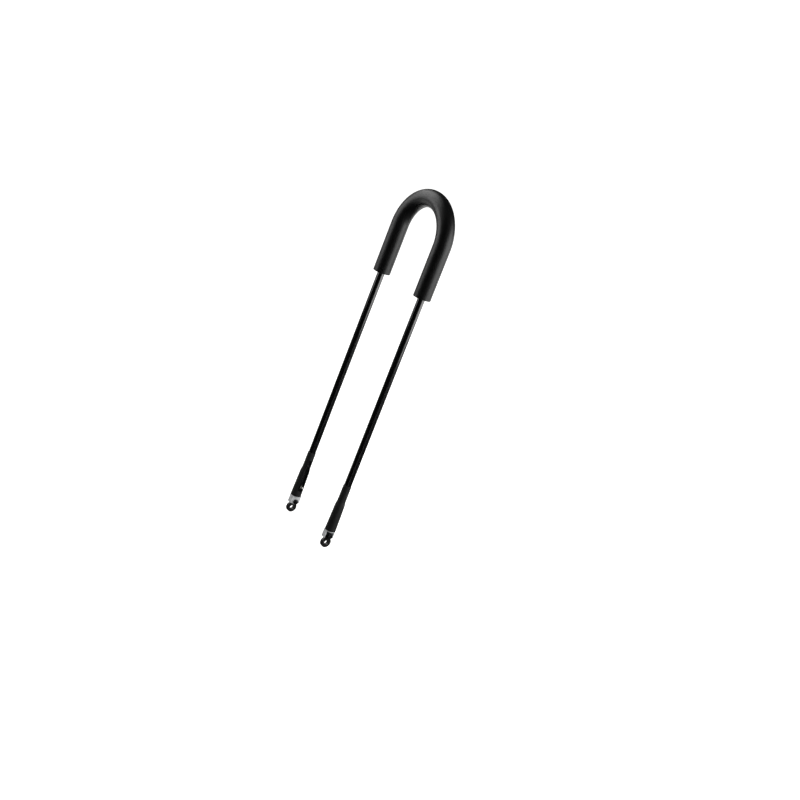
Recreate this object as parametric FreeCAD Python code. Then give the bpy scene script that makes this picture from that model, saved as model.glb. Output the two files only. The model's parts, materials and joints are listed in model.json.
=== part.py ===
import FreeCAD, Part
import math
import os

Vector = FreeCAD.Vector
ACROSS = Vector(1, 0, 0)
UP = Vector(0, 0, 1)
ORIGIN = Vector(0, 0, 0)

# Push handle for a child's bicycle. Millimetres. It is drawn upright, with the wheel axle along X
# through the origin, and leaned back toward +Y at the end. The left leg stands at +X, and the
# right leg is its mirror image.

# Stance
lean_angle = 24.0  # legs behind the vertical, degrees
leg_spacing = 157.5  # between the axes of the two legs
pivot_rise = 16.0  # wheel axle up to the pivot bolt
foot_rise = 13.0  # pivot bolt up to the foot of the leg tube

# Leg tube, with a row of holes on its inner side
tube_diameter = 16.0
tube_wall = 1.0
tube_length = 526.0
hole_count = 7
hole_pitch = 55.0
tube_hole_clearance = 0.4  # on radius, round the button

# Guide bush in the mouth of the leg tube
bush_wall = 0.63
bush_depth = 20.0
bush_flange = 1.5
bush_fit = 0.05  # on radius, in the tube
running_clearance = 0.07  # on radius, round the sliding bar

# Sliding bar, bent into an arch
bar_wall = 1.0
grip_straight = 107.0  # straight length of each side of the grip
bar_hole_clearance = 0.1  # on radius, round the button

# Foam grip
foam_thickness = 12.4
foam_fit = 0.05  # on radius, round the bar
foam_gap = 0.5  # above the guide bush
foam_edge = 1.5  # bevel of the cut ends

# Glide plug in the foot of the bar
glide_collar = 3.0
glide_spigot = 5.0
glide_edge = 0.6
glide_clearance = 0.08  # on radius, in the leg tube
spigot_fit = 0.05  # on radius, of a spigot in a tube
rest_gap = 0.5  # above the spigot of the end fitting

# Snap button
button_diameter = 7.0
button_rise = 10.0  # foot of the bar up to the button
button_stand_out = 6.5  # past the outside of the leg tube

# Snap spring, a strip bent into a V inside the bar
strip_width = 5.0
strip_thickness = 0.6
strip_clearance = 0.1
pad_below = 4.5  # flat behind the button, downward
pad_above = 5.5  # and upward
spring_height = 38.0  # button up to the bend
back_arm = 20.0
spring_bend = 2.0  # radius on the centre line
spring_ease = 6.0

# Foot boot
boot_length = 105.0
boot_thin_wall = 0.7
boot_sleeve_wall = 1.0
boot_shoulder_wall = 2.5
boot_base_wall = 3.8
boot_sleeve = 35.0  # length of the thin upper part
boot_shoulder = 14.0
boot_edge = 0.4
boot_fit = 0.05
window_width = 12.0
window_margin = 4.5  # past the holes that it leaves open

# End fitting, a pressed bracket on a spigot
fitting_plate = 2.0
fitting_spigot = 8.5
flange_inset = 0.4  # inside the edge of the boot
lip_thickness = 2.0
lip_depth = 11.5
lip_drop = 17.5
web_end = 7.0  # radius of the web below the bolt
channel_inside = 19.0
channel_bend = 1.0
pivot_gap = 0.05  # each side of the bracket

# Axle lug
lug_thickness = 8.0
knuckle_radius = 7.0
eye_radius = 11.5
axle_hole = 10.4
lug_edge = 0.8
neck_fillet = 2.0

# Pivot fasteners
bolt_diameter = 6.0
bolt_clearance = 0.1  # on radius, in its holes
hex_across_flats = 10.0
head_height = 4.0
nut_height = 6.0
nut_collar = 2.0
bolt_tail = 1.4
washer_diameter = 12.0
washer_thickness = 1.6
friction_diameter = 13.0
friction_thickness = 1.0
hex_chamfer = 30.0  # degrees

# Values that follow
leg_x = leg_spacing / 2
tube_radius = tube_diameter / 2
bore_radius = tube_radius - tube_wall
bar_radius = bore_radius - bush_fit - bush_wall - running_clearance
bar_bore = bar_radius - bar_wall
foam_bore = bar_radius + foam_fit
foam_radius = foam_bore + foam_thickness
button_radius = button_diameter / 2
bolt_radius = bolt_diameter / 2
bolt_hole = bolt_radius + bolt_clearance

foot_z = pivot_rise + foot_rise
mouth_z = foot_z + tube_length
foam_z = mouth_z + bush_flange + foam_gap
arch_z = foam_z + grip_straight
bar_z = foot_z + fitting_spigot + rest_gap + glide_collar
button_z = bar_z + button_rise

pad_x = math.sqrt(bar_bore ** 2 - (strip_width / 2) ** 2) - strip_clearance
tip_x = tube_radius + button_stand_out
web_x = lug_thickness / 2 + friction_thickness + pivot_gap
nut_x = web_x + fitting_plate + pivot_gap
past = tube_diameter  # how far a cut runs past what it cuts


# Shapes shared by several pieces

def ring(outer, inner, z, height):
    """A ring or tube about the leg axis."""
    body = Part.makeCylinder(outer, height, Vector(leg_x, 0, z), UP)
    return body.cut(Part.makeCylinder(inner, height, Vector(leg_x, 0, z), UP))


def cross_rod(radius, start, end, z):
    """A rod along X, from start to end as distances outward from the leg axis."""
    return Part.makeCylinder(radius, end - start, Vector(leg_x + start, 0, z), ACROSS)


def turned(profile, centre, axis):
    """Revolve a closed outline of points and edges once about an axis."""
    face = Part.Face(Part.Wire(profile))
    return face.revolve(centre, axis, 360)


def outline(points):
    """Straight edges joining points in a closed loop."""
    return [
        Part.LineSegment(a, b).toShape()
        for a, b in zip(points, points[1:] + points[:1])
    ]


def arch(radius, foot):
    """A rod bent into an arch over both legs, from a height up."""
    body = Part.makeTorus(leg_x, radius, Vector(0, 0, arch_z), Vector(0, 1, 0))
    span = leg_spacing + 2 * radius
    upper = Part.makeBox(2 * span, 2 * span, span, Vector(-span, -span, arch_z))
    body = body.common(upper)
    for x in (-leg_x, leg_x):
        body = body.fuse(Part.makeCylinder(radius, arch_z - foot, Vector(x, 0, foot), UP))
    return body.removeSplitter()


def hexagon(start, end, z):
    """A hexagonal prism along X, with its corners taken off at the outer end."""
    corner = hex_across_flats / math.sqrt(3)
    points = [
        Vector(leg_x + start, corner * math.cos(math.radians(a)), z + corner * math.sin(math.radians(a)))
        for a in range(0, 360, 60)
    ]
    body = Part.Face(Part.Wire(outline(points))).extrude(Vector(end - start, 0, 0))
    flat = hex_across_flats / 2
    taper = (corner - flat) * math.tan(math.radians(hex_chamfer))
    points = [
        Vector(leg_x + start, 0, z),
        Vector(leg_x + end, 0, z),
        Vector(leg_x + end, 0, z + flat),
        Vector(leg_x + end - taper, 0, z + corner),
        Vector(leg_x + start, 0, z + corner),
    ]
    return body.common(turned(outline(points), Vector(leg_x, 0, z), ACROSS))


def strip_face(points, radii, thickness):
    """A strip of even thickness along a bent path in the XZ plane, as a face."""
    steps = [(b - a).normalize() for a, b in zip(points, points[1:])]
    sides = [Vector(-s.z, 0, s.x) for s in steps]
    rails = []
    for offset in (thickness / 2, -thickness / 2):
        edges = []
        here = points[0] + sides[0] * offset
        for i, radius in enumerate(radii):
            corner = points[i + 1]
            turn = math.acos(max(-1.0, min(1.0, steps[i].dot(steps[i + 1]))))
            reach = radius * math.tan(turn / 2)
            inward = (steps[i + 1] - steps[i]).normalize()
            centre = corner + inward * (radius / math.cos(turn / 2))
            start = corner - steps[i] * reach + sides[i] * offset
            end = corner + steps[i + 1] * reach + sides[i + 1] * offset
            left_turn = sides[i].dot(steps[i + 1]) > 0
            bend = radius - offset if left_turn else radius + offset
            middle = centre - inward * bend
            edges.append(Part.LineSegment(here, start).toShape())
            edges.append(Part.Arc(start, middle, end).toShape())
            here = end
        last = points[-1] + sides[-1] * offset
        edges.append(Part.LineSegment(here, last).toShape())
        rails.append((edges, points[0] + sides[0] * offset, last))
    (left, left_start, left_end), (right, right_start, right_end) = rails
    ends = [
        Part.LineSegment(left_start, right_start).toShape(),
        Part.LineSegment(left_end, right_end).toShape(),
    ]
    loop = Part.__sortEdges__(left + right + ends)
    return Part.Face(Part.Wire(loop))


# Leg tube, with its row of holes facing the other leg
def leg_tube():
    body = ring(tube_radius, bore_radius, foot_z, tube_length)
    hole = button_radius + tube_hole_clearance
    for n in range(hole_count):
        body = body.cut(cross_rod(hole, -tube_diameter, 0, button_z + n * hole_pitch))
    return body


# Guide bush, with a flange that covers the rim of the tube
def guide_bush():
    spigot = bore_radius - bush_fit
    inner = bar_radius + running_clearance
    body = ring(spigot, inner, mouth_z - bush_depth, bush_depth)
    return body.fuse(ring(tube_radius, inner, mouth_z, bush_flange)).removeSplitter()


# Sliding bar, one tube bent over both legs, with a hole for each button
def handle_bar():
    body = arch(bar_radius, bar_z).cut(arch(bar_bore, bar_z))
    hole = button_radius + bar_hole_clearance
    rod = Part.makeCylinder(hole, leg_spacing, Vector(-leg_x, 0, button_z), ACROSS)
    return body.cut(rod)


# Foam grip over the arch
def grip_foam():
    body = arch(foam_radius, foam_z)
    rims = [
        edge
        for edge in body.Edges
        if edge.Length > foam_radius
        and abs(edge.BoundBox.ZMax - foam_z) < foam_edge / 2
        and edge.BoundBox.ZLength < foam_edge / 2
    ]
    body = body.makeChamfer(foam_edge, rims)
    return body.cut(arch(foam_bore, foam_z))


# Glide plug, which closes the foot of the bar and runs in the leg tube
def glide_plug():
    collar = Part.makeCylinder(
        bore_radius - glide_clearance, glide_collar, Vector(leg_x, 0, bar_z - glide_collar), UP
    )
    rims = [e for e in collar.Edges if e.BoundBox.ZLength < glide_edge / 2]
    collar = collar.makeChamfer(glide_edge, rims)
    spigot = Part.makeCylinder(bar_bore - spigot_fit, glide_spigot, Vector(leg_x, 0, bar_z), UP)
    return collar.fuse(spigot)


# Snap button, a pin with a domed tip
def snap_button():
    def at(inward, radius):
        return Vector(leg_x - inward, 0, button_z + radius)

    shoulder = tip_x - button_radius
    bulge = button_radius * math.sqrt(0.5)
    profile = [
        Part.LineSegment(at(tip_x, 0), at(pad_x, 0)).toShape(),
        Part.LineSegment(at(pad_x, 0), at(pad_x, button_radius)).toShape(),
        Part.LineSegment(at(pad_x, button_radius), at(shoulder, button_radius)).toShape(),
        Part.Arc(
            at(shoulder, button_radius), at(shoulder + bulge, bulge), at(tip_x, 0)
        ).toShape(),
    ]
    return turned(profile, Vector(leg_x, 0, button_z), ACROSS)


# Snap spring, which pushes the button out from inside the bar
def snap_spring():
    front = leg_x - (pad_x - strip_thickness / 2)
    back = leg_x + (pad_x - strip_thickness / 2)
    top = button_z + spring_height
    path = [
        Vector(front, 0, button_z - pad_below),
        Vector(front, 0, button_z + pad_above),
        Vector(leg_x, 0, top),
        Vector(back, 0, top),
        Vector(back, 0, top - back_arm),
    ]
    face = strip_face(path, [spring_ease, spring_bend, spring_bend], strip_thickness)
    face.translate(Vector(0, -strip_width / 2, 0))
    return face.extrude(Vector(0, strip_width, 0))


# Foot boot, a sleeve that flares to the base, with a window for the buttons
def foot_boot():
    def at(height, wall):
        return Vector(leg_x + tube_radius + wall, 0, foot_z + height)

    sleeve = boot_length - boot_sleeve
    shoulder = sleeve - boot_shoulder
    flare = Part.BSplineCurve()
    rise = boot_shoulder / 4
    walls = (boot_sleeve_wall, boot_shoulder_wall)
    mean = sum(walls) / 2
    flare.interpolate(
        [at(shoulder, walls[1]), at(shoulder + rise * 2, mean), at(sleeve, walls[0])],
        InitialTangent=Vector(walls[1] - boot_base_wall, 0, shoulder),
        FinalTangent=Vector(boot_thin_wall - walls[0], 0, boot_sleeve),
    )
    lower = [
        Part.LineSegment(at(boot_length, boot_thin_wall - boot_edge), at(boot_length, boot_fit)),
        Part.LineSegment(at(boot_length, boot_fit), at(0, boot_fit)),
        Part.LineSegment(at(0, boot_fit), at(0, boot_base_wall)),
        Part.LineSegment(at(0, boot_base_wall), at(shoulder, walls[1])),
    ]
    upper = [
        Part.LineSegment(at(sleeve, walls[0]), at(boot_length - boot_edge, boot_thin_wall)),
        Part.LineSegment(
            at(boot_length - boot_edge, boot_thin_wall),
            at(boot_length, boot_thin_wall - boot_edge),
        ),
    ]
    profile = [curve.toShape() for curve in lower + [flare] + upper]
    body = turned(profile, Vector(leg_x, 0, 0), UP)
    half = window_width / 2
    low = button_z - window_margin
    high = button_z + hole_pitch + window_margin
    depth = tube_radius + boot_base_wall + past
    slot = Part.makeBox(
        depth, window_width, high - low, Vector(leg_x - depth, -half, low)
    )
    for z in (low, high):
        slot = slot.fuse(cross_rod(half, -depth, 0, z))
    return body.cut(slot)


# End fitting, a folded bracket welded to a spigot in the foot of the tube
def end_fitting():
    spigot = Part.makeCylinder(
        bore_radius - spigot_fit, fitting_spigot, Vector(leg_x, 0, foot_z), UP
    )
    radius = tube_radius + boot_base_wall - flange_inset
    low = foot_z - fitting_plate
    flange = Part.makeCylinder(radius, fitting_plate, Vector(leg_x, 0, low), UP)
    outside = channel_inside + 2 * lip_thickness
    inner = -web_x - fitting_plate
    cap = Part.makeBox(
        -inner, outside, fitting_plate, Vector(leg_x + inner, -outside / 2, low)
    )
    web = Part.makeBox(
        fitting_plate, outside, lip_drop, Vector(leg_x + inner, -outside / 2, foot_z - lip_drop)
    )
    ear = cross_rod(web_end, inner, -web_x, pivot_rise)
    body = spigot.fuse([flange, cap, web, ear])
    for y in (-outside / 2, outside / 2 - lip_thickness):
        lip = Part.makeBox(
            lip_depth, lip_thickness, lip_drop, Vector(leg_x + inner, y, foot_z - lip_drop)
        )
        body = body.fuse(lip)
    body = body.removeSplitter()
    folds = [
        edge
        for edge in body.Edges
        if edge.BoundBox.ZLength > lip_drop / 2
        and abs(edge.BoundBox.XMax - (leg_x + inner)) < channel_bend / 2
    ]
    body = body.makeFillet(channel_bend, folds)
    return body.cut(cross_rod(bolt_hole, -past, 0, pivot_rise))


# Axle lug, an eye for the wheel axle under a knuckle for the pivot bolt
def axle_lug():
    half = lug_thickness / 2
    eye = cross_rod(eye_radius, -half, half, 0)
    knuckle = cross_rod(knuckle_radius, -half, half, pivot_rise)
    neck = Part.makeBox(
        lug_thickness, 2 * knuckle_radius, pivot_rise, Vector(leg_x - half, -knuckle_radius, 0)
    )
    body = eye.fuse([knuckle, neck]).removeSplitter()
    corners = [
        edge
        for edge in body.Edges
        if edge.BoundBox.XLength > half
        and edge.BoundBox.YLength < neck_fillet / 2
        and 0 < edge.BoundBox.ZMin < eye_radius
        and edge.BoundBox.ZLength < neck_fillet / 2
    ]
    body = body.makeFillet(neck_fillet, corners)
    rims = [edge for edge in body.Edges if edge.BoundBox.XLength < lug_edge / 2]
    body = body.makeChamfer(lug_edge, rims)
    body = body.cut(cross_rod(bolt_hole, -past, past, pivot_rise))
    return body.cut(cross_rod(axle_hole / 2, -past, past, 0))


# Friction washer between the lug and the bracket
def friction_washer():
    start = -lug_thickness / 2 - friction_thickness
    body = cross_rod(friction_diameter / 2, start, start + friction_thickness, pivot_rise)
    return body.cut(cross_rod(bolt_hole, -past, past, pivot_rise))


# Washer under the head of the bolt
def bolt_washer():
    start = lug_thickness / 2
    body = cross_rod(washer_diameter / 2, start, start + washer_thickness, pivot_rise)
    return body.cut(cross_rod(bolt_hole, -past, past, pivot_rise))


# Pivot bolt, with its head on the outer side
def pivot_bolt():
    seat = lug_thickness / 2 + washer_thickness
    head = hexagon(seat, seat + head_height, pivot_rise)
    shank = cross_rod(bolt_radius, -nut_x - nut_height - bolt_tail, seat, pivot_rise)
    return head.fuse(shank)


# Locking nut on the inner side
def pivot_nut():
    body = hexagon(-nut_x - nut_height + nut_collar, -nut_x, pivot_rise)
    collar = cross_rod(hex_across_flats / 2, -nut_x - nut_height, -nut_x, pivot_rise)
    rims = [e for e in collar.Edges if e.BoundBox.XMax < leg_x - nut_x - nut_height / 2]
    body = body.fuse(collar.makeChamfer(nut_collar / 2, rims))
    return body.cut(cross_rod(bolt_radius, -past, past, pivot_rise))


# Lean the pieces back about the axle and write each one
def write(name, shape):
    leaned = shape.copy()
    leaned.rotate(ORIGIN, ACROSS, -lean_angle)
    leaned.exportStep("parts/" + name + ".step")


paired = {
    "leg_tube": leg_tube,
    "guide_bush": guide_bush,
    "glide_plug": glide_plug,
    "snap_button": snap_button,
    "snap_spring": snap_spring,
    "foot_boot": foot_boot,
    "end_fitting": end_fitting,
    "axle_lug": axle_lug,
    "friction_washer": friction_washer,
    "bolt_washer": bolt_washer,
    "pivot_bolt": pivot_bolt,
    "pivot_nut": pivot_nut,
}

for name, make in paired.items():
    left = make()
    write(name + "_left", left)
    write(name + "_right", left.mirror(ORIGIN, ACROSS))
write("handle_bar", handle_bar())
write("grip_foam", grip_foam())
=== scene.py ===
import json
import math

import bmesh
import bpy
from bpy.props import FloatProperty, FloatVectorProperty, PointerProperty
from mathutils import Matrix, Vector


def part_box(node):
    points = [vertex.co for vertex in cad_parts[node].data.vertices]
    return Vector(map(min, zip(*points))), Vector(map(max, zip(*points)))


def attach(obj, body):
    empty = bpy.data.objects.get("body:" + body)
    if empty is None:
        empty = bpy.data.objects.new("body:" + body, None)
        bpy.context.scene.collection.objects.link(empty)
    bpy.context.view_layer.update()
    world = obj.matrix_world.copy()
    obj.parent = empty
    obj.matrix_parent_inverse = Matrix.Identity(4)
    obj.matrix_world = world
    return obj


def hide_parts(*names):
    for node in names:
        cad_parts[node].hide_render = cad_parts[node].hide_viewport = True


bl_info = {
    "name": "Child bike push handle",
    "version": (1, 0, 0),
    "blender": (4, 5, 0),
    "location": "View3D > Sidebar > Push handle",
    "description": "Finishes the push handle over its packed solids, and sets the stage",
    "category": "Object",
}

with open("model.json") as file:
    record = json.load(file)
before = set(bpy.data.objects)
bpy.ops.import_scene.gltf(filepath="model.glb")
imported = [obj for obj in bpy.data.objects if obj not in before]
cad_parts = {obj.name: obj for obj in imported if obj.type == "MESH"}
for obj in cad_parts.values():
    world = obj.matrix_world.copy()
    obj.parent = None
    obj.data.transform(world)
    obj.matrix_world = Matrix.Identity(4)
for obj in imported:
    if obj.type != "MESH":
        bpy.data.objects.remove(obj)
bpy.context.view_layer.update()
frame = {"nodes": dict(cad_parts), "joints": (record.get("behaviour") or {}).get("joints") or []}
SIDES = ("left", "right")

# The legs rise along this line, which gives their lean behind the vertical.
RISE = Vector(next(j for j in frame["joints"] if j["name"] == "height")["axis"])
LEAN = math.atan2(RISE.y, RISE.z)
UPRIGHT = Matrix.Rotation(-LEAN, 4, "X")

# From the middle of the handle to the axis of a leg, and on to the outside of the foam.
LEG_REACH = sum(corner.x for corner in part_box("leg_tube_left")) / 2
GRIP_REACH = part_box("grip_foam")[1].x

# The rounded section of a nut's nylon ring, as (how far proud of the collar, radius).
INSERT_RING = (
    (0.0, 0.0031), (0.00018, 0.00318), (0.00025, 0.0034), (0.00025, 0.0036), (0.00018, 0.0038), (0.0, 0.0039)
)


def linear(hex_code):
    """An sRGB hex colour as linear red, green and blue."""
    parts = [int(hex_code[i:i + 2], 16) / 255 for i in (1, 3, 5)]
    return [p / 12.92 if p <= 0.04045 else ((p + 0.055) / 1.055) ** 2.4 for p in parts]


def feed(tree, node, inputs):
    """Fill a node's inputs. Each is a value, a socket, or a node that gives its first output."""
    for key, value in inputs.items():
        if isinstance(value, bpy.types.Node):
            value = value.outputs[0]
        if isinstance(value, bpy.types.NodeSocket):
            tree.links.new(value, node.inputs[key])
        else:
            node.inputs[key].default_value = value


def add(tree, kind, inputs=None, **settings):
    """Add a node with its settings and its inputs."""
    made = tree.nodes.new(kind)
    for name, value in settings.items():
        setattr(made, name, value)
    feed(tree, made, inputs or {})
    return made


# Sizes and colours

def length(name, description, default):
    return FloatProperty(
        name=name, description=description, default=default, min=0.0, unit="LENGTH", precision=5
    )


def turn(name, description, default):
    return FloatProperty(
        name=name, description=description, default=math.radians(default), unit="ROTATION"
    )


def share(name, description, default):
    return FloatProperty(
        name=name, description=description, default=default, min=0.0, max=1.0, subtype="FACTOR"
    )


def amount(name, description, default):
    return FloatProperty(name=name, description=description, default=default, min=0.0)


def shift(name, description, default):
    return FloatProperty(name=name, description=description, default=default)


def colour(name, description, hex_code):
    return FloatVectorProperty(
        name=name, description=description, default=linear(hex_code),
        subtype="COLOR", size=3, min=0.0, max=1.0,
    )


class FoamGripSettings(bpy.types.PropertyGroup):
    leg_reach: length("Leg reach", "From the middle of the arch to the axis of a leg", LEG_REACH)
    foot: length("Foot height", "Cut end of the foam above the wheel axle, along the leg", 0.557)
    straight: length("Straight length", "Straight part of each side", 0.107)
    outer: length("Outer radius", "Radius of the foam", GRIP_REACH - LEG_REACH)
    bore: length("Bore radius", "Radius of the hole for the bar", 0.0063)
    edge: length("Edge radius", "Rounding of the cut ends", 0.0009)
    unevenness: length("Unevenness", "How far the skin swells and sinks", 0.00016)
    skin: colour("Skin colour", "Closed skin of the foam", "#0a0a0b")
    cut: colour("Cut colour", "Open cells of the cut ends", "#0a0a0b")


class TubeSettings(bpy.types.PropertyGroup):
    enamel: colour("Enamel colour", "Stoved enamel on the tubes", "#060607")
    roughness: share("Enamel roughness", "Roughness of the enamel under its gloss", 0.22)
    gloss: share("Gloss roughness", "Roughness of the clear gloss", 0.045)
    rub: share("Rub marks", "How far rubbing dulls the sliding bar", 0.25)


class FootSettings(bpy.types.PropertyGroup):
    nylon: colour("Nylon colour", "Moulded nylon of the boots", "#1e1e1f")
    zinc: colour("Zinc colour", "Zinc plate on the brackets", "#eceef0")
    lug: colour("Lug colour", "Electro-dipped coat on the axle lugs", "#111112")
    oxide: colour("Oxide colour", "Black oxide on the bolts, nuts and washers", "#3c3c3f")
    nickel: colour("Nickel colour", "Nickel plate on the snap buttons", "#d3d0ca")
    spring: colour("Spring colour", "Tempered steel of the snap springs", "#8d8a84")
    insert: colour("Insert colour", "Nylon ring in the locking nuts", "#1b1b1d")
    thread_radius: length("Thread radius", "Root of the bolt thread", 0.003)
    thread_pitch: length("Thread pitch", "Rise of the bolt thread in one turn", 0.001)
    thread_depth: length("Thread depth", "Height of the thread over its root", 0.00045)
    thread_turns: amount("Thread turns", "Turns of thread on the tail of the bolt", 1.2)


class StageSettings(bpy.types.PropertyGroup):
    azimuth: turn("Azimuth", "Camera's turn round the handle", 60.11)
    elevation: turn("Elevation", "Camera's height above the horizon", 27.59)
    distance: length("Distance", "Camera to the aiming point", 2.7)
    aim: length("Aim", "Height of the aiming point, along the legs", 0.33)
    lens: amount("Lens", "Focal length in millimetres", 58.14)
    shift_x: shift("Shift X", "Sideways shift of the frame", 0.0475)
    shift_y: shift("Shift Y", "Upward shift of the frame", -0.0186)
    floor: length("Floor drop", "Floor below the wheel axle", 0.2)
    floor_colour: colour("Floor colour", "Painted floor", "#ececea")
    floor_glow: share("Floor glow", "How far the floor is lifted to white, to the eye alone", 0.84)
    grip_height: length("Grip height", "Height that the panels stand round, along the legs", 0.6)
    side_light: amount("Side light", "Brightness of the side panels", 3.2)
    top_light: amount("Top light", "Brightness of the top panel", 3.0)
    room_light: amount("Room light", "Brightness of the room on the handle", 0.12)
    even_light: amount("Even light", "Brightness of the broad light from above", 0.8)


GROUPS = {
    "push_foam": FoamGripSettings,
    "push_tube": TubeSettings,
    "push_foot": FootSettings,
    "push_stage": StageSettings,
}


# Materials

def fresh_material(name, surface):
    """A new material, with its tree, its Principled node and the Object coordinates."""
    made = bpy.data.materials.new(name)
    made.use_nodes = True
    tree = made.node_tree
    shader = tree.nodes["Principled BSDF"]
    for key, value in surface.items():
        shader.inputs[key].default_value = (*value, 1.0) if key.endswith(("Color", "Tint")) else value
    place = add(tree, "ShaderNodeTexCoord").outputs["Object"]
    return made, tree, shader, place


def upright_place(tree, place, stretch=(1, 1, 1)):
    """Object coordinates in millimetres, turned so that Z runs along the legs, then stretched."""
    turned = add(tree, "ShaderNodeMapping", {"Vector": place, "Rotation": (LEAN, 0, 0)}, vector_type="POINT")
    millimetres = [1000 * s for s in stretch]
    return add(tree, "ShaderNodeVectorMath", {0: turned, 1: millimetres}, operation="MULTIPLY")


def foam_rubber(sizes):
    # Closed-cell rubber foam, extruded as a sleeve. The skin is matte and drinks light, with a
    # faint bloom at glancing angles, a fine leathery grain and soft streaks along the extrusion.
    # The real cells are about 0.3 mm. They are drawn at 1.1 mm so that they show. The streaks
    # are about 2.4 mm wide and 110 mm long.
    made, tree, shader, _ = fresh_material("nitrile_foam_extruded", {
        "Specular IOR Level": 0.5, "IOR": 1.5,
        "Sheen Weight": 0.015, "Sheen Roughness": 0.45, "Sheen Tint": (0.75, 0.76, 0.8),
    })
    cell, streaks = (1000 / 1.1,) * 3, (9, 420, 420)
    sleeve = add(tree, "ShaderNodeAttribute", attribute_name="sleeve").outputs["Vector"]
    face = add(tree, "ShaderNodeAttribute", attribute_name="cut_face").outputs["Fac"]
    cells_at = add(tree, "ShaderNodeVectorMath", {0: sleeve, 1: cell}, operation="MULTIPLY")
    streak_at = add(tree, "ShaderNodeVectorMath", {0: sleeve, 1: streaks}, operation="MULTIPLY")
    cells = add(tree, "ShaderNodeTexVoronoi", {"Vector": cells_at, "Scale": 1.0}, feature="SMOOTH_F1")
    streak = add(tree, "ShaderNodeTexNoise", {"Vector": streak_at, "Scale": 1.0, "Detail": 3.0})
    mottle = add(tree, "ShaderNodeTexNoise", {"Vector": sleeve, "Scale": 55.0, "Detail": 4.0})
    uneven = add(tree, "ShaderNodeMath", {0: streak, 1: mottle}, operation="MULTIPLY")
    tone = add(tree, "ShaderNodeMapRange", {"Value": uneven, "To Min": 0.72, "To Max": 1.5})
    # places 6 and 7 are the mix's two colours, and its place 2 gives the mixed one
    ends = {0: face, 6: (*sizes.skin, 1), 7: (*sizes.cut, 1)}
    skin = add(tree, "ShaderNodeMix", ends, data_type="RGBA").outputs[2]
    height = add(tree, "ShaderNodeMath", {0: cells, 1: streak}, operation="ADD")
    deep = add(tree, "ShaderNodeMath", {0: face, 1: 1.6, 2: 0.35}, operation="MULTIPLY_ADD")
    feed(tree, shader, {
        "Base Color": add(tree, "ShaderNodeVectorMath", {0: skin, "Scale": tone}, operation="SCALE"),
        "Roughness": add(tree, "ShaderNodeMapRange", {"Value": mottle, "To Min": 0.36, "To Max": 0.48}),
        "Normal": add(tree, "ShaderNodeBump", {"Strength": deep, "Distance": 0.00012, "Height": height}),
    })
    return made


def stoved_enamel(name, sizes, rubbed):
    # Drawn steel tube, dipped in black enamel and stoved. It is deep black with sharp highlights
    # that waver a little, because the film settles into a faint orange peel of about 1.4 mm. On
    # the sliding bar the guide bush leaves dull hairlines along it.
    made, tree, shader, place = fresh_material(name, {
        "Base Color": sizes.enamel, "Specular IOR Level": 0.5, "IOR": 1.5,
        "Coat Weight": 1.0, "Coat Roughness": sizes.gloss, "Coat IOR": 1.5,
    })
    along = upright_place(tree, place)
    peel = add(tree, "ShaderNodeTexNoise", {"Vector": along, "Scale": 1 / 1.4, "Detail": 2.0})
    lines_at = upright_place(tree, place, (4.0, 4.0, 0.03))
    lines = add(tree, "ShaderNodeTexNoise", {"Vector": lines_at, "Scale": 1.0, "Detail": 3.0})
    dull = add(tree, "ShaderNodeMapRange", {"Value": lines, "From Min": 0.5, "From Max": 0.7})
    worn = sizes.rub if rubbed else sizes.rub / 4
    bump = add(tree, "ShaderNodeBump", {"Strength": 0.3, "Distance": 0.00001, "Height": peel})
    rough = {0: dull, 1: worn, 2: sizes.roughness}
    feed(tree, shader, {
        "Roughness": add(tree, "ShaderNodeMath", rough, operation="MULTIPLY_ADD"),
        "Normal": bump,
        "Coat Normal": bump,
    })
    return made


def moulded_nylon(name, tint, grain):
    # Injection-moulded nylon from an etched mould. It is an even charcoal with a soft, broad
    # highlight, broken by a spark-eroded grain of about 0.3 mm, drawn at the size given.
    made, tree, shader, place = fresh_material(name, {"Specular IOR Level": 0.35, "IOR": 1.53})
    along = upright_place(tree, place)
    pits = add(tree, "ShaderNodeTexNoise", {"Vector": along, "Scale": 1 / grain, "Detail": 2.0})
    flow = add(tree, "ShaderNodeTexNoise", {"Vector": along, "Scale": 0.06, "Detail": 3.0})
    tone = add(tree, "ShaderNodeMapRange", {"Value": flow, "To Min": 0.82, "To Max": 1.2})
    feed(tree, shader, {
        "Base Color": add(tree, "ShaderNodeVectorMath", {0: tint, "Scale": tone}, operation="SCALE"),
        "Roughness": add(tree, "ShaderNodeMapRange", {"Value": flow, "To Min": 0.5, "To Max": 0.64}),
        "Normal": add(tree, "ShaderNodeBump", {"Strength": 0.35, "Distance": 0.00006, "Height": pits}),
    })
    return made


def zinc_plate(tint):
    # Pressed steel, barrel-plated with bright zinc. It is a cool pale metal with a satin sheen,
    # clouded where the passivation lies thicker, and with fine tumbling marks in every direction.
    # The passivation film scatters about half of the light, so it looks pale from all round.
    made, tree, shader, place = fresh_material("zinc_plate_on_steel", {"Metallic": 0.5})
    along = upright_place(tree, place)
    cloud = add(tree, "ShaderNodeTexNoise", {"Vector": along, "Scale": 0.22, "Detail": 4.0})
    tumbled = {"Vector": along, "Scale": 2.2, "Detail": 5.0, "Distortion": 1.5}
    marks = add(tree, "ShaderNodeTexNoise", tumbled)
    tone = add(tree, "ShaderNodeMapRange", {"Value": cloud, "To Min": 0.8, "To Max": 1.08})
    feed(tree, shader, {
        "Base Color": add(tree, "ShaderNodeVectorMath", {0: tint, "Scale": tone}, operation="SCALE"),
        "Roughness": add(tree, "ShaderNodeMapRange", {"Value": marks, "To Min": 0.5, "To Max": 0.66}),
        "Normal": add(tree, "ShaderNodeBump", {"Strength": 0.25, "Distance": 0.00004, "Height": marks}),
    })
    return made


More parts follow.
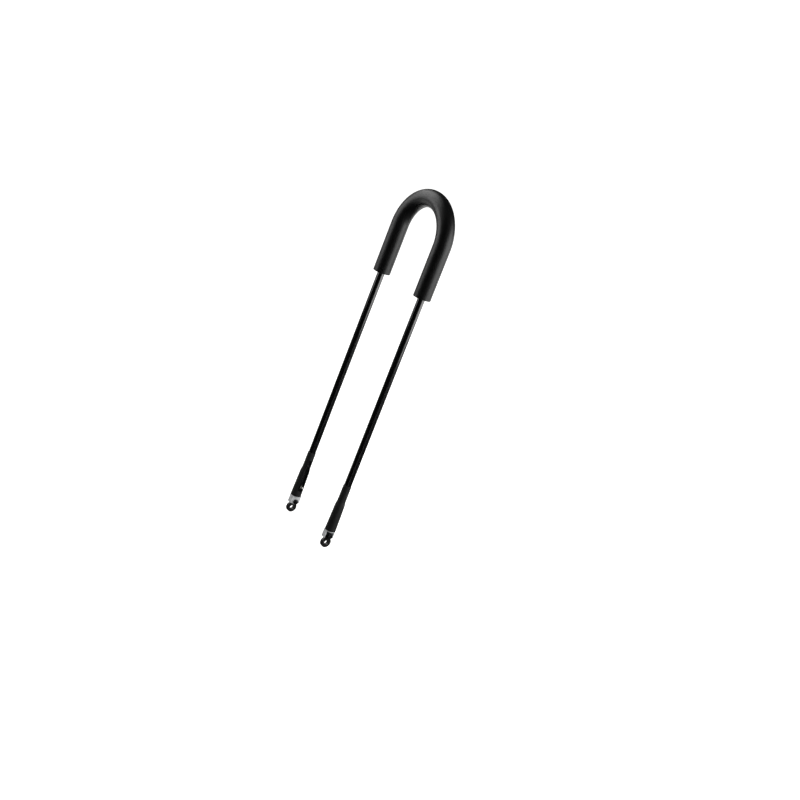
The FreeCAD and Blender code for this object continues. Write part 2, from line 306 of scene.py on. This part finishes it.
def black_oxide(tint):
    # Turned and rolled steel, blackened in hot salts and oiled. It is nearly black, with a dull
    # metallic highlight where the oil has dried unevenly.
    made, tree, shader, place = fresh_material("black_oxide_on_steel", {"Metallic": 1.0})
    along = upright_place(tree, place)
    film = add(tree, "ShaderNodeTexNoise", {"Vector": along, "Scale": 0.5, "Detail": 4.0})
    tone = add(tree, "ShaderNodeMapRange", {"Value": film, "To Min": 0.7, "To Max": 1.3})
    feed(tree, shader, {
        "Base Color": add(tree, "ShaderNodeVectorMath", {0: tint, "Scale": tone}, operation="SCALE"),
        "Roughness": add(tree, "ShaderNodeMapRange", {"Value": film, "To Min": 0.3, "To Max": 0.5}),
    })
    return made


def nickel_plate(tint):
    # Turned steel pin, polished and nickel-plated. It is a warm mirror with hairline turning
    # marks round its axis, about 0.2 mm apart and drawn at 0.4 mm.
    made, tree, shader, place = fresh_material("nickel_plate_polished", {"Metallic": 1.0, "Base Color": tint})
    rings_at = upright_place(tree, place, (2.5, 0.05, 0.05))
    rings = add(tree, "ShaderNodeTexNoise", {"Vector": rings_at, "Scale": 1.0, "Detail": 2.0})
    feed(tree, shader, {
        "Roughness": add(tree, "ShaderNodeMapRange", {"Value": rings, "To Min": 0.07, "To Max": 0.2}),
        "Normal": add(tree, "ShaderNodeBump", {"Strength": 0.15, "Distance": 0.00002, "Height": rings}),
    })
    return made


def dipped_lug(tint):
    # Forged steel lug, shot-blasted and electro-dipped in black. It has a satin bloom over the
    # soft dimples that the blasting leaves, about 0.5 mm across and drawn at 0.8 mm.
    made, tree, shader, place = fresh_material("electro_dipped_forging", {
        "Specular IOR Level": 0.5, "Coat Weight": 0.25, "Coat Roughness": 0.3,
    })
    along = upright_place(tree, place)
    dimples = add(tree, "ShaderNodeTexVoronoi", {"Vector": along, "Scale": 1 / 0.8}, feature="SMOOTH_F1")
    cloud = add(tree, "ShaderNodeTexNoise", {"Vector": along, "Scale": 0.3, "Detail": 3.0})
    tone = add(tree, "ShaderNodeMapRange", {"Value": cloud, "To Min": 0.75, "To Max": 1.3})
    feed(tree, shader, {
        "Base Color": add(tree, "ShaderNodeVectorMath", {0: tint, "Scale": tone}, operation="SCALE"),
        "Roughness": add(tree, "ShaderNodeMapRange", {"Value": cloud, "To Min": 0.34, "To Max": 0.5}),
        "Normal": add(tree, "ShaderNodeBump", {"Strength": 0.35, "Distance": 0.00008, "Height": dimples}),
    })
    return made


def tempered_spring(tint):
    # Rolled spring steel, oil-tempered. It is dark grey metal with a straw cast and straight
    # rolling marks along the strip.
    made, tree, shader, place = fresh_material("spring_steel_tempered", {"Metallic": 1.0, "Base Color": tint})
    rolled = upright_place(tree, place, (1.0, 3.0, 0.1))
    marks = add(tree, "ShaderNodeTexNoise", {"Vector": rolled, "Scale": 1.5, "Detail": 3.0})
    feed(tree, shader, {
        "Roughness": add(tree, "ShaderNodeMapRange", {"Value": marks, "To Min": 0.24, "To Max": 0.42}),
    })
    return made


# Pieces

def dress(nodes, material):
    """Give carried-over nodes their finish."""
    for name in nodes:
        for slot in frame["nodes"][name].material_slots:
            slot.material = material


def both(*names):
    """The left and the right node of each name."""
    return [f"{name}_{side}" for name in names for side in SIDES]


def finished(made, material, body):
    """Hang a finished piece on its body, and with its material if it has none."""
    if not made.data.materials:
        made.data.materials.append(material)
    for face in made.data.polygons:
        face.use_smooth = True
    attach(made, body)


def make_plain(carrier):
    """Turn what a carrier's modifiers make into a plain mesh at the origin."""
    depsgraph = bpy.context.evaluated_depsgraph_get()
    mesh = bpy.data.meshes.new_from_object(carrier.evaluated_get(depsgraph))
    mesh.name = carrier.name
    old = carrier.data
    carrier.modifiers.clear()
    carrier.data = mesh
    bpy.data.meshes.remove(old)


def grow(carrier, tree, values):
    """Put a Geometry Nodes tree on a carrier, set its inputs by identifier and keep the mesh."""
    modifier = carrier.modifiers.new(tree.name, "NODES")
    modifier.node_group = tree
    for item in tree.interface.items_tree:
        if item.item_type == "SOCKET" and item.in_out == "INPUT" and item.name in values:
            modifier[item.identifier] = values[item.name]
    make_plain(carrier)


def new_tree(name, sockets):
    """An empty Geometry Nodes tree with a geometry way through and named inputs."""
    tree = bpy.data.node_groups.new(name, "GeometryNodeTree")
    tree.interface.new_socket("Geometry", in_out="INPUT", socket_type="NodeSocketGeometry")
    tree.interface.new_socket("Geometry", in_out="OUTPUT", socket_type="NodeSocketGeometry")
    for label, kind in sockets.items():
        tree.interface.new_socket(label, in_out="INPUT", socket_type=kind)
    return tree, dict(add(tree, "NodeGroupInput").outputs.items())


def finish_tree(tree, geometry, material):
    """End a Geometry Nodes tree with real geometry in its material."""
    real = add(tree, "GeometryNodeRealizeInstances", {0: geometry})
    dressed = add(tree, "GeometryNodeSetMaterial", {"Geometry": real, "Material": material})
    add(tree, "NodeGroupOutput", {0: dressed})


def work_out(tree, kind, known, steps):
    """Add a chain of nodes. Each step is a name, an operation and what it works on."""
    for name, operation, *parts in steps:
        inputs = {place: known.get(part, part) for place, part in enumerate(parts)}
        known[name] = add(tree, kind, inputs, operation=operation)


def new_piece(name, verts=(), faces=()):
    """A mesh object in the scene, empty unless it is given its points and faces."""
    mesh = bpy.data.meshes.new(name)
    mesh.from_pydata(verts, [], faces)
    made = bpy.data.objects.new(name, mesh)
    bpy.context.scene.collection.objects.link(made)
    return made


def sleeve_section(sizes, run):
    """The foam's wall in section, as (distance along, radius) round a closed loop."""
    outer, inner, edge = sizes.outer, sizes.bore, sizes.edge
    edge_steps, skin_steps, wall_steps, bore_steps = 8, 260, 4, 60

    def corner(near, sign):
        """The rounding of one end, from the skin to the cut face."""
        points = []
        for k in range(edge_steps + 1):
            a = math.pi / 2 * k / edge_steps
            points.append((near + sign * edge * (1 - math.sin(a)), outer - edge * (1 - math.cos(a))))
        return points

    skin = [(edge + (run - 2 * edge) * k / skin_steps, outer) for k in range(1, skin_steps)]
    near = [(0.0, inner + (outer - edge - inner) * k / wall_steps) for k in range(wall_steps)]
    far = [(run, r) for _, r in reversed(near)]
    inside = [(run * k / bore_steps, inner) for k in range(bore_steps - 1, 0, -1)]
    return near + corner(0.0, 1)[::-1] + skin + corner(run, -1) + far + inside


def sleeve_tree():
    """Bend a straight sleeve, drawn as distance, angle and radius, over the arch of the legs."""
    tree, known = new_tree("bend_sleeve_over_arch", {
        "Arch radius": "NodeSocketFloat", "Foot": "NodeSocketFloat", "Straight": "NodeSocketFloat",
        "Lean": "NodeSocketFloat", "Unevenness": "NodeSocketFloat", "Cut depth": "NodeSocketFloat",
        "Material": "NodeSocketMaterial",
    })
    drawn = add(tree, "ShaderNodeSeparateXYZ", {0: add(tree, "GeometryNodeInputPosition")})
    known["along"], known["angle"], known["radius"] = drawn.outputs

    # how far each point has gone up one side, over the arch and down the other
    work_out(tree, "ShaderNodeMath", known, (
        ("bend", "MULTIPLY", "Arch radius", math.pi),
        ("past side", "SUBTRACT", "along", "Straight"),
        ("past bend", "SUBTRACT", "past side", "bend"),
        ("rising", "MINIMUM", "along", "Straight"),
        ("on arch", "MAXIMUM", "past side", 0.0),
        ("over", "MINIMUM", "on arch", "bend"),
        ("falling", "MAXIMUM", "past bend", 0.0),
        ("swing", "DIVIDE", "over", "Arch radius"),
        ("swing cosine", "COSINE", "swing"),
        ("swing sine", "SINE", "swing"),
        ("side", "COSINE", "angle"),
        ("front", "SINE", "angle"),
        ("straight side", "MULTIPLY", "side", "radius"),
        ("straight front", "MULTIPLY", "front", "radius"),
    ))

    # the sleeve as it was before it was bent, which its patterns follow
    straight = add(tree, "ShaderNodeCombineXYZ", {
        0: known["along"], 1: known["straight side"], 2: known["straight front"],
    })
    known["swell"] = add(tree, "ShaderNodeTexNoise", {"Vector": straight, "Scale": 34.0, "Detail": 2.0})

    # the place of each point, and 1 for those on the cut ends
    work_out(tree, "ShaderNodeMath", known, (
        ("swell about 0", "SUBTRACT", "swell", 0.5),
        ("swell in metres", "MULTIPLY", "swell about 0", "Unevenness"),
        ("radius now", "ADD", "radius", "swell in metres"),
        ("reach", "MULTIPLY", "radius now", "side"),
        ("arch reach", "ADD", "Arch radius", "reach"),
        ("inward", "MULTIPLY", "swing cosine", -1.0),
        ("x", "MULTIPLY", "arch reach", "inward"),
        ("y", "MULTIPLY", "radius now", "front"),
        ("climbed", "SUBTRACT", "rising", "falling"),
        ("height", "ADD", "climbed", "Foot"),
        ("arch height", "MULTIPLY", "arch reach", "swing sine"),
        ("z", "ADD", "height", "arch height"),
        ("both sides", "MULTIPLY", "Straight", 2.0),
        ("whole", "ADD", "both sides", "bend"),
        ("left to go", "SUBTRACT", "whole", "along"),
        ("to end", "MINIMUM", "along", "left to go"),
        ("cut", "LESS_THAN", "to end", "Cut depth"),
    ))
    bent = add(tree, "ShaderNodeCombineXYZ", {0: known["x"], 1: known["y"], 2: known["z"]})
    tilt = {"Vector": bent, "Angle": known["Lean"]}
    leaned = add(tree, "ShaderNodeVectorRotate", tilt, rotation_type="X_AXIS")
    kept = add(tree, "GeometryNodeStoreNamedAttribute", {
        "Geometry": known["Geometry"], "Name": "sleeve", "Value": straight,
    }, data_type="FLOAT_VECTOR", domain="POINT")
    kept = add(tree, "GeometryNodeStoreNamedAttribute", {
        "Geometry": kept, "Name": "cut_face", "Value": known["cut"],
    }, data_type="FLOAT", domain="POINT")
    moved = add(tree, "GeometryNodeSetPosition", {"Geometry": kept, "Position": leaned})
    finish_tree(tree, moved, known["Material"])
    return tree


def thread_tree():
    """A screw thread: a ridge of three sides, wound round X."""
    tree, given = new_tree("wind_thread", {
        "Radius": "NodeSocketFloat", "Pitch": "NodeSocketFloat", "Depth": "NodeSocketFloat",
        "Turns": "NodeSocketFloat", "Material": "NodeSocketMaterial",
    })
    rise = add(tree, "ShaderNodeMath", {0: given["Turns"], 1: given["Pitch"]}, operation="MULTIPLY")
    helix = add(tree, "GeometryNodeCurveSpiral", {
        "Resolution": 48, "Rotations": given["Turns"], "Height": rise,
        "Start Radius": given["Radius"], "End Radius": given["Radius"],
    })
    ridge = add(tree, "GeometryNodeCurvePrimitiveCircle", {"Resolution": 3, "Radius": given["Depth"]})
    wound = add(tree, "GeometryNodeCurveToMesh", {"Curve": helix, "Profile Curve": ridge, "Fill Caps": True})
    laid = add(tree, "GeometryNodeTransform", {"Geometry": wound, "Rotation": (0, -math.pi / 2, 0)})
    finish_tree(tree, laid, given["Material"])
    return tree


def turn_outward(made):
    """Point a piece's faces outwards."""
    work = bmesh.new()
    work.from_mesh(made.data)
    bmesh.ops.recalc_face_normals(work, faces=work.faces)
    work.to_mesh(made.data)
    work.free()


def ring_faces(around, many):
    """The faces between sections of a ring, each section a closed loop of points."""
    faces = []
    for k in range(around):
        here, there = k * many, (k + 1) % around * many
        for i in range(many):
            j = (i + 1) % many
            faces.append((here + i, here + j, there + j, there + i))
    return faces


class HANDLE_OT_foam_grip(bpy.types.Operator):
    """Make the foam sleeve over the arch of the bar"""
    bl_idname = "push_handle.foam_grip"
    bl_label = "Foam grip"

    def execute(self, context):
        sizes = context.scene.push_foam
        run = 2 * sizes.straight + math.pi * sizes.leg_reach
        section = sleeve_section(sizes, run)
        around = 72
        verts = [(s, 2 * math.pi * k / around, r) for k in range(around) for s, r in section]
        sleeve = new_piece("foam_grip", verts, ring_faces(around, len(section)))
        grow(sleeve, sleeve_tree(), {
            "Arch radius": sizes.leg_reach, "Foot": sizes.foot, "Straight": sizes.straight,
            "Lean": -LEAN, "Unevenness": sizes.unevenness, "Cut depth": sizes.edge / 2,
            "Material": foam_rubber(sizes),
        })
        turn_outward(sleeve)
        finished(sleeve, None, "handle")
        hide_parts("grip_foam")
        return {"FINISHED"}


class HANDLE_OT_tubes(bpy.types.Operator):
    """Finish the leg tubes and the sliding bar in stoved enamel"""
    bl_idname = "push_handle.tubes"
    bl_label = "Enamelled tubes"

    def execute(self, context):
        sizes = context.scene.push_tube
        dress(both("leg_tube"), stoved_enamel("enamel_stoved_on_leg_tube", sizes, False))
        dress(["handle_bar"], stoved_enamel("enamel_stoved_on_sliding_bar", sizes, True))
        return {"FINISHED"}


class HANDLE_OT_mouldings(bpy.types.Operator):
    """Finish the boots, bushes, plugs and friction washers in moulded nylon"""
    bl_idname = "push_handle.mouldings"
    bl_label = "Nylon mouldings"

    def execute(self, context):
        sizes = context.scene.push_foot
        smooth = moulded_nylon("nylon_moulded_smooth", sizes.nylon, 0.6)
        dress(both("guide_bush", "glide_plug", "friction_washer"), smooth)
        dress(both("foot_boot"), moulded_nylon("nylon_moulded_grained", sizes.nylon, 0.9))
        return {"FINISHED"}


class HANDLE_OT_metalwork(bpy.types.Operator):
    """Finish the brackets, bolts, lugs, snap buttons and springs"""
    bl_idname = "push_handle.metalwork"
    bl_label = "Metalwork"

    def execute(self, context):
        sizes = context.scene.push_foot
        dress(both("end_fitting"), zinc_plate(sizes.zinc))
        dress(both("bolt_washer", "pivot_bolt", "pivot_nut"), black_oxide(sizes.oxide))
        dress(both("axle_lug"), dipped_lug(sizes.lug))
        dress(both("snap_button"), nickel_plate(sizes.nickel))
        dress(both("snap_spring"), tempered_spring(sizes.spring))
        return {"FINISHED"}


class HANDLE_OT_threads(bpy.types.Operator):
    """Wind the thread on the tail of each pivot bolt"""
    bl_idname = "push_handle.threads"
    bl_label = "Bolt threads"

    def execute(self, context):
        sizes = context.scene.push_foot
        tree = thread_tree()
        blackened = frame["nodes"]["pivot_bolt_left"].material_slots[0].material
        for side, way, end in zip(SIDES, (1, -1), (min, max)):
            low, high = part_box(f"pivot_bolt_{side}")
            thread = new_piece(f"bolt_thread_{side}")
            grow(thread, tree, {
                "Radius": sizes.thread_radius, "Pitch": sizes.thread_pitch, "Depth": sizes.thread_depth,
                "Turns": sizes.thread_turns, "Material": blackened,
            })
            # the thread ends short of the tail, by its own depth
            start = end(vertex.co.x for vertex in thread.data.vertices) - way * sizes.thread_depth
            middle = (low + high) / 2
            thread.data.transform(Matrix.Translation((end(low.x, high.x) - start, middle.y, middle.z)))
            finished(thread, blackened, "axle_lugs")
        return {"FINISHED"}


class HANDLE_OT_nut_inserts(bpy.types.Operator):
    """Set the nylon ring in the collar of each locking nut"""
    bl_idname = "push_handle.nut_inserts"
    bl_label = "Nut inserts"

    def execute(self, context):
        sizes = context.scene.push_foot
        nylon = moulded_nylon("nylon_insert_black", sizes.insert, 0.5)
        around = 48
        for side, way in zip(SIDES, (1, -1)):
            low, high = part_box(f"pivot_nut_{side}")
            face = low.x if way > 0 else high.x
            middle = (low + high) / 2
            verts = []
            for k in range(around):
                a = 2 * math.pi * k / around
                for proud, radius in INSERT_RING:
                    verts.append((
                        face - way * proud, middle.y + radius * math.cos(a), middle.z + radius * math.sin(a)
                    ))
            made = new_piece(f"nut_insert_{side}", verts, ring_faces(around, len(INSERT_RING)))
            turn_outward(made)
            finished(made, nylon, "axle_lugs")
        return {"FINISHED"}


# Stage

def panel(name, place, target, width, height, bright):
    """A soft light of even brightness, turned to face a point."""
    lamp = bpy.data.lights.new(name, "AREA")
    lamp.shape = "RECTANGLE"
    lamp.size, lamp.size_y = width, height
    lamp.energy = bright * math.pi * width * height
    made = bpy.data.objects.new(name, lamp)
    made.location = place
    made.rotation_euler = (Vector(target) - Vector(place)).to_track_quat("-Z", "Y").to_euler()
    made.visible_camera = False
    bpy.context.scene.collection.objects.link(made)


def white_to_eye(tree):
    """1 for what the camera sees, straight or in metal and glass, and 0 for light on the object."""
    path = add(tree, "ShaderNodeLightPath").outputs
    rays = {0: path["Is Camera Ray"], 1: path["Is Glossy Ray"]}
    seen = add(tree, "ShaderNodeMath", rays, operation="MAXIMUM")
    return add(tree, "ShaderNodeMath", {0: seen, 1: path["Is Transmission Ray"]}, operation="MAXIMUM")


def white_room(dim_light):
    """The world: white to the eye, dim on the handle."""
    world = bpy.data.worlds.new("studio")
    world.use_nodes = True
    bpy.context.scene.world = world
    tree = world.node_tree
    tree.nodes.clear()
    dim = add(tree, "ShaderNodeBackground", {"Color": (1, 1, 1, 1), "Strength": dim_light})
    white = add(tree, "ShaderNodeBackground", {"Color": (1, 1, 1, 1), "Strength": 1.0})
    mixed = add(tree, "ShaderNodeMixShader", {0: white_to_eye(tree), 1: dim, 2: white})
    add(tree, "ShaderNodeOutputWorld", {"Surface": mixed})


def painted_floor(drop, paint, glow):
    """The floor: white to the eye but for the handle's shadow."""
    emulsion = bpy.data.materials.new("emulsion_painted_floor")
    emulsion.use_nodes = True
    tree = emulsion.node_tree
    tree.nodes.clear()
    matte = add(tree, "ShaderNodeBsdfDiffuse", {"Color": (*paint, 1)})
    lift = add(tree, "ShaderNodeMath", {0: white_to_eye(tree), 1: glow}, operation="MULTIPLY")
    glowing = add(tree, "ShaderNodeEmission", {"Color": (1, 1, 1, 1), "Strength": lift})
    lifted = add(tree, "ShaderNodeAddShader", {0: matte, 1: glowing})
    add(tree, "ShaderNodeOutputMaterial", {"Surface": lifted})
    wide = 40.0
    corners = ((-wide, -wide), (wide, -wide), (wide, wide), (-wide, wide))
    floor = new_piece("floor", [(x, y, -drop) for x, y in corners], [(0, 1, 2, 3)])
    floor.data.materials.append(emulsion)


def felt_tent(base, right, away):
    """A tent of black felt that only gloss and metal see, with a mat under its front half."""
    felt = bpy.data.materials.new("black_felt_tent")
    felt.use_nodes = True
    feed(felt.node_tree, felt.node_tree.nodes["Principled BSDF"], {
        "Base Color": (*linear("#060606"), 1), "Roughness": 1.0,
    })
    reach, height, around = 3.0, 4.0, 64
    turns = [2 * math.pi * k / around for k in range(around)]
    verts = [
        (reach * math.cos(a), reach * math.sin(a), z) for z in (base.z, base.z + height) for a in turns
    ]
    walls = [(k, (k + 1) % around, around + (k + 1) % around, around + k) for k in range(around)]
    tent = new_piece("felt_tent", verts, [*walls, range(around, 2 * around)])
    # the mat lies 2 mm over the floor and ends 450 mm behind the grip
    behind = base + Vector((0, 0, 0.002)) + away * 0.45
    corners = (behind - right * reach, behind + right * reach)
    corners += tuple(corner - away * reach for corner in reversed(corners))
    mat = new_piece("felt_mat", corners, [(0, 1, 2, 3)])
    for made in (tent, mat):
        made.data.materials.append(felt)
        made.visible_camera = False
        made.visible_diffuse = False
        made.visible_shadow = False
        made.visible_transmission = False


def even_light(direction, bright):
    """A broad light from above, which gloss doesn't see."""
    sun = bpy.data.lights.new("even_light", "SUN")
    sun.energy, sun.angle = bright, math.radians(35)
    made = bpy.data.objects.new("even_light", sun)
    made.rotation_euler = (-direction).to_track_quat("-Z", "Y").to_euler()
    made.visible_glossy = False
    bpy.context.scene.collection.objects.link(made)


def photo_camera(sizes, back):
    """The camera, at the photograph's viewing angle."""
    lens = bpy.data.cameras.new("camera")
    lens.lens, lens.sensor_width = sizes.lens, 36.0
    lens.shift_x, lens.shift_y = sizes.shift_x, sizes.shift_y
    lens.clip_start, lens.clip_end = 0.05, 200.0
    camera = bpy.data.objects.new("camera", lens)
    camera.location = UPRIGHT @ Vector((0, 0, sizes.aim)) + back * sizes.distance
    camera.rotation_euler = (-back).to_track_quat("-Z", "Y").to_euler()
    bpy.context.scene.collection.objects.link(camera)
    bpy.context.scene.camera = camera


class HANDLE_OT_stage(bpy.types.Operator):
    """Set the floor, the soft lights and the camera"""
    bl_idname = "push_handle.stage"
    bl_label = "Stage"

    def execute(self, context):
        sizes = context.scene.push_stage
        context.scene.view_settings.view_transform = "Standard"
        azimuth, elevation = sizes.azimuth, sizes.elevation
        level, up = math.cos(elevation), Vector((0, 0, 1))
        right = Vector((math.cos(azimuth), math.sin(azimuth), 0))
        away = Vector((-math.sin(azimuth), math.cos(azimuth), 0))
        photo_camera(sizes, Vector((-away.x * level, -away.y * level, math.sin(elevation))))
        white_room(sizes.room_light)
        painted_floor(sizes.floor, sizes.floor_colour, sizes.floor_glow)

        # a long low panel stands on the floor at the right, one hangs high at the left, and a
        # wide one leans over the handle from behind, which draw the stripes along the tubes
        grip = UPRIGHT @ Vector((0, 0, sizes.grip_height))
        base = Vector((grip.x, grip.y, -sizes.floor))
        low = base + right * 1.05 - away * 0.68 + up * 0.56
        high = base - right * 1.15 + away * 0.38 + up * 1.26
        over = grip + away * 0.92 - right * 0.62 + up * 1.05
        inward, side = Vector((grip.x, grip.y, high.z)), sizes.side_light
        panel("right_panel", low, low - right, width=1.55, height=1.1, bright=side)
        panel("left_panel", high, inward, width=1.1, height=0.76, bright=side * 0.75)
        panel("top_panel", over, grip, width=1.2, height=1.2, bright=sizes.top_light)
        felt_tent(base, right, away)
        even_light(up + away * 0.35, sizes.even_light)
        return {"FINISHED"}


class HANDLE_PT_panel(bpy.types.Panel):
    bl_label = "Push handle"
    bl_idname = "HANDLE_PT_panel"
    bl_space_type = "VIEW_3D"
    bl_region_type = "UI"
    bl_category = "Push handle"

    def draw(self, context):
        for group in GROUPS:
            settings = getattr(context.scene, group)
            column = self.layout.column(align=True)
            for name in settings.__annotations__:
                column.prop(settings, name)
        for operator in OPERATORS:
            self.layout.operator(operator.bl_idname)


OPERATORS = (
    HANDLE_OT_tubes,
    HANDLE_OT_mouldings,
    HANDLE_OT_metalwork,
    HANDLE_OT_foam_grip,
    HANDLE_OT_threads,
    HANDLE_OT_nut_inserts,
    HANDLE_OT_stage,
)


def register():
    for cls in (*GROUPS.values(), *OPERATORS, HANDLE_PT_panel):
        bpy.utils.register_class(cls)
    for name, group in GROUPS.items():
        setattr(bpy.types.Scene, name, PointerProperty(type=group))


def unregister():
    for name in GROUPS:
        delattr(bpy.types.Scene, name)
    for cls in (HANDLE_PT_panel, *reversed(OPERATORS), *reversed(GROUPS.values())):
        bpy.utils.unregister_class(cls)


def main():
    register()
    bpy.ops.push_handle.tubes()
    bpy.ops.push_handle.mouldings()
    bpy.ops.push_handle.metalwork()
    bpy.ops.push_handle.foam_grip()
    bpy.ops.push_handle.threads()
    bpy.ops.push_handle.nut_inserts()
    bpy.ops.push_handle.stage()


if __name__ == "__main__":
    main()
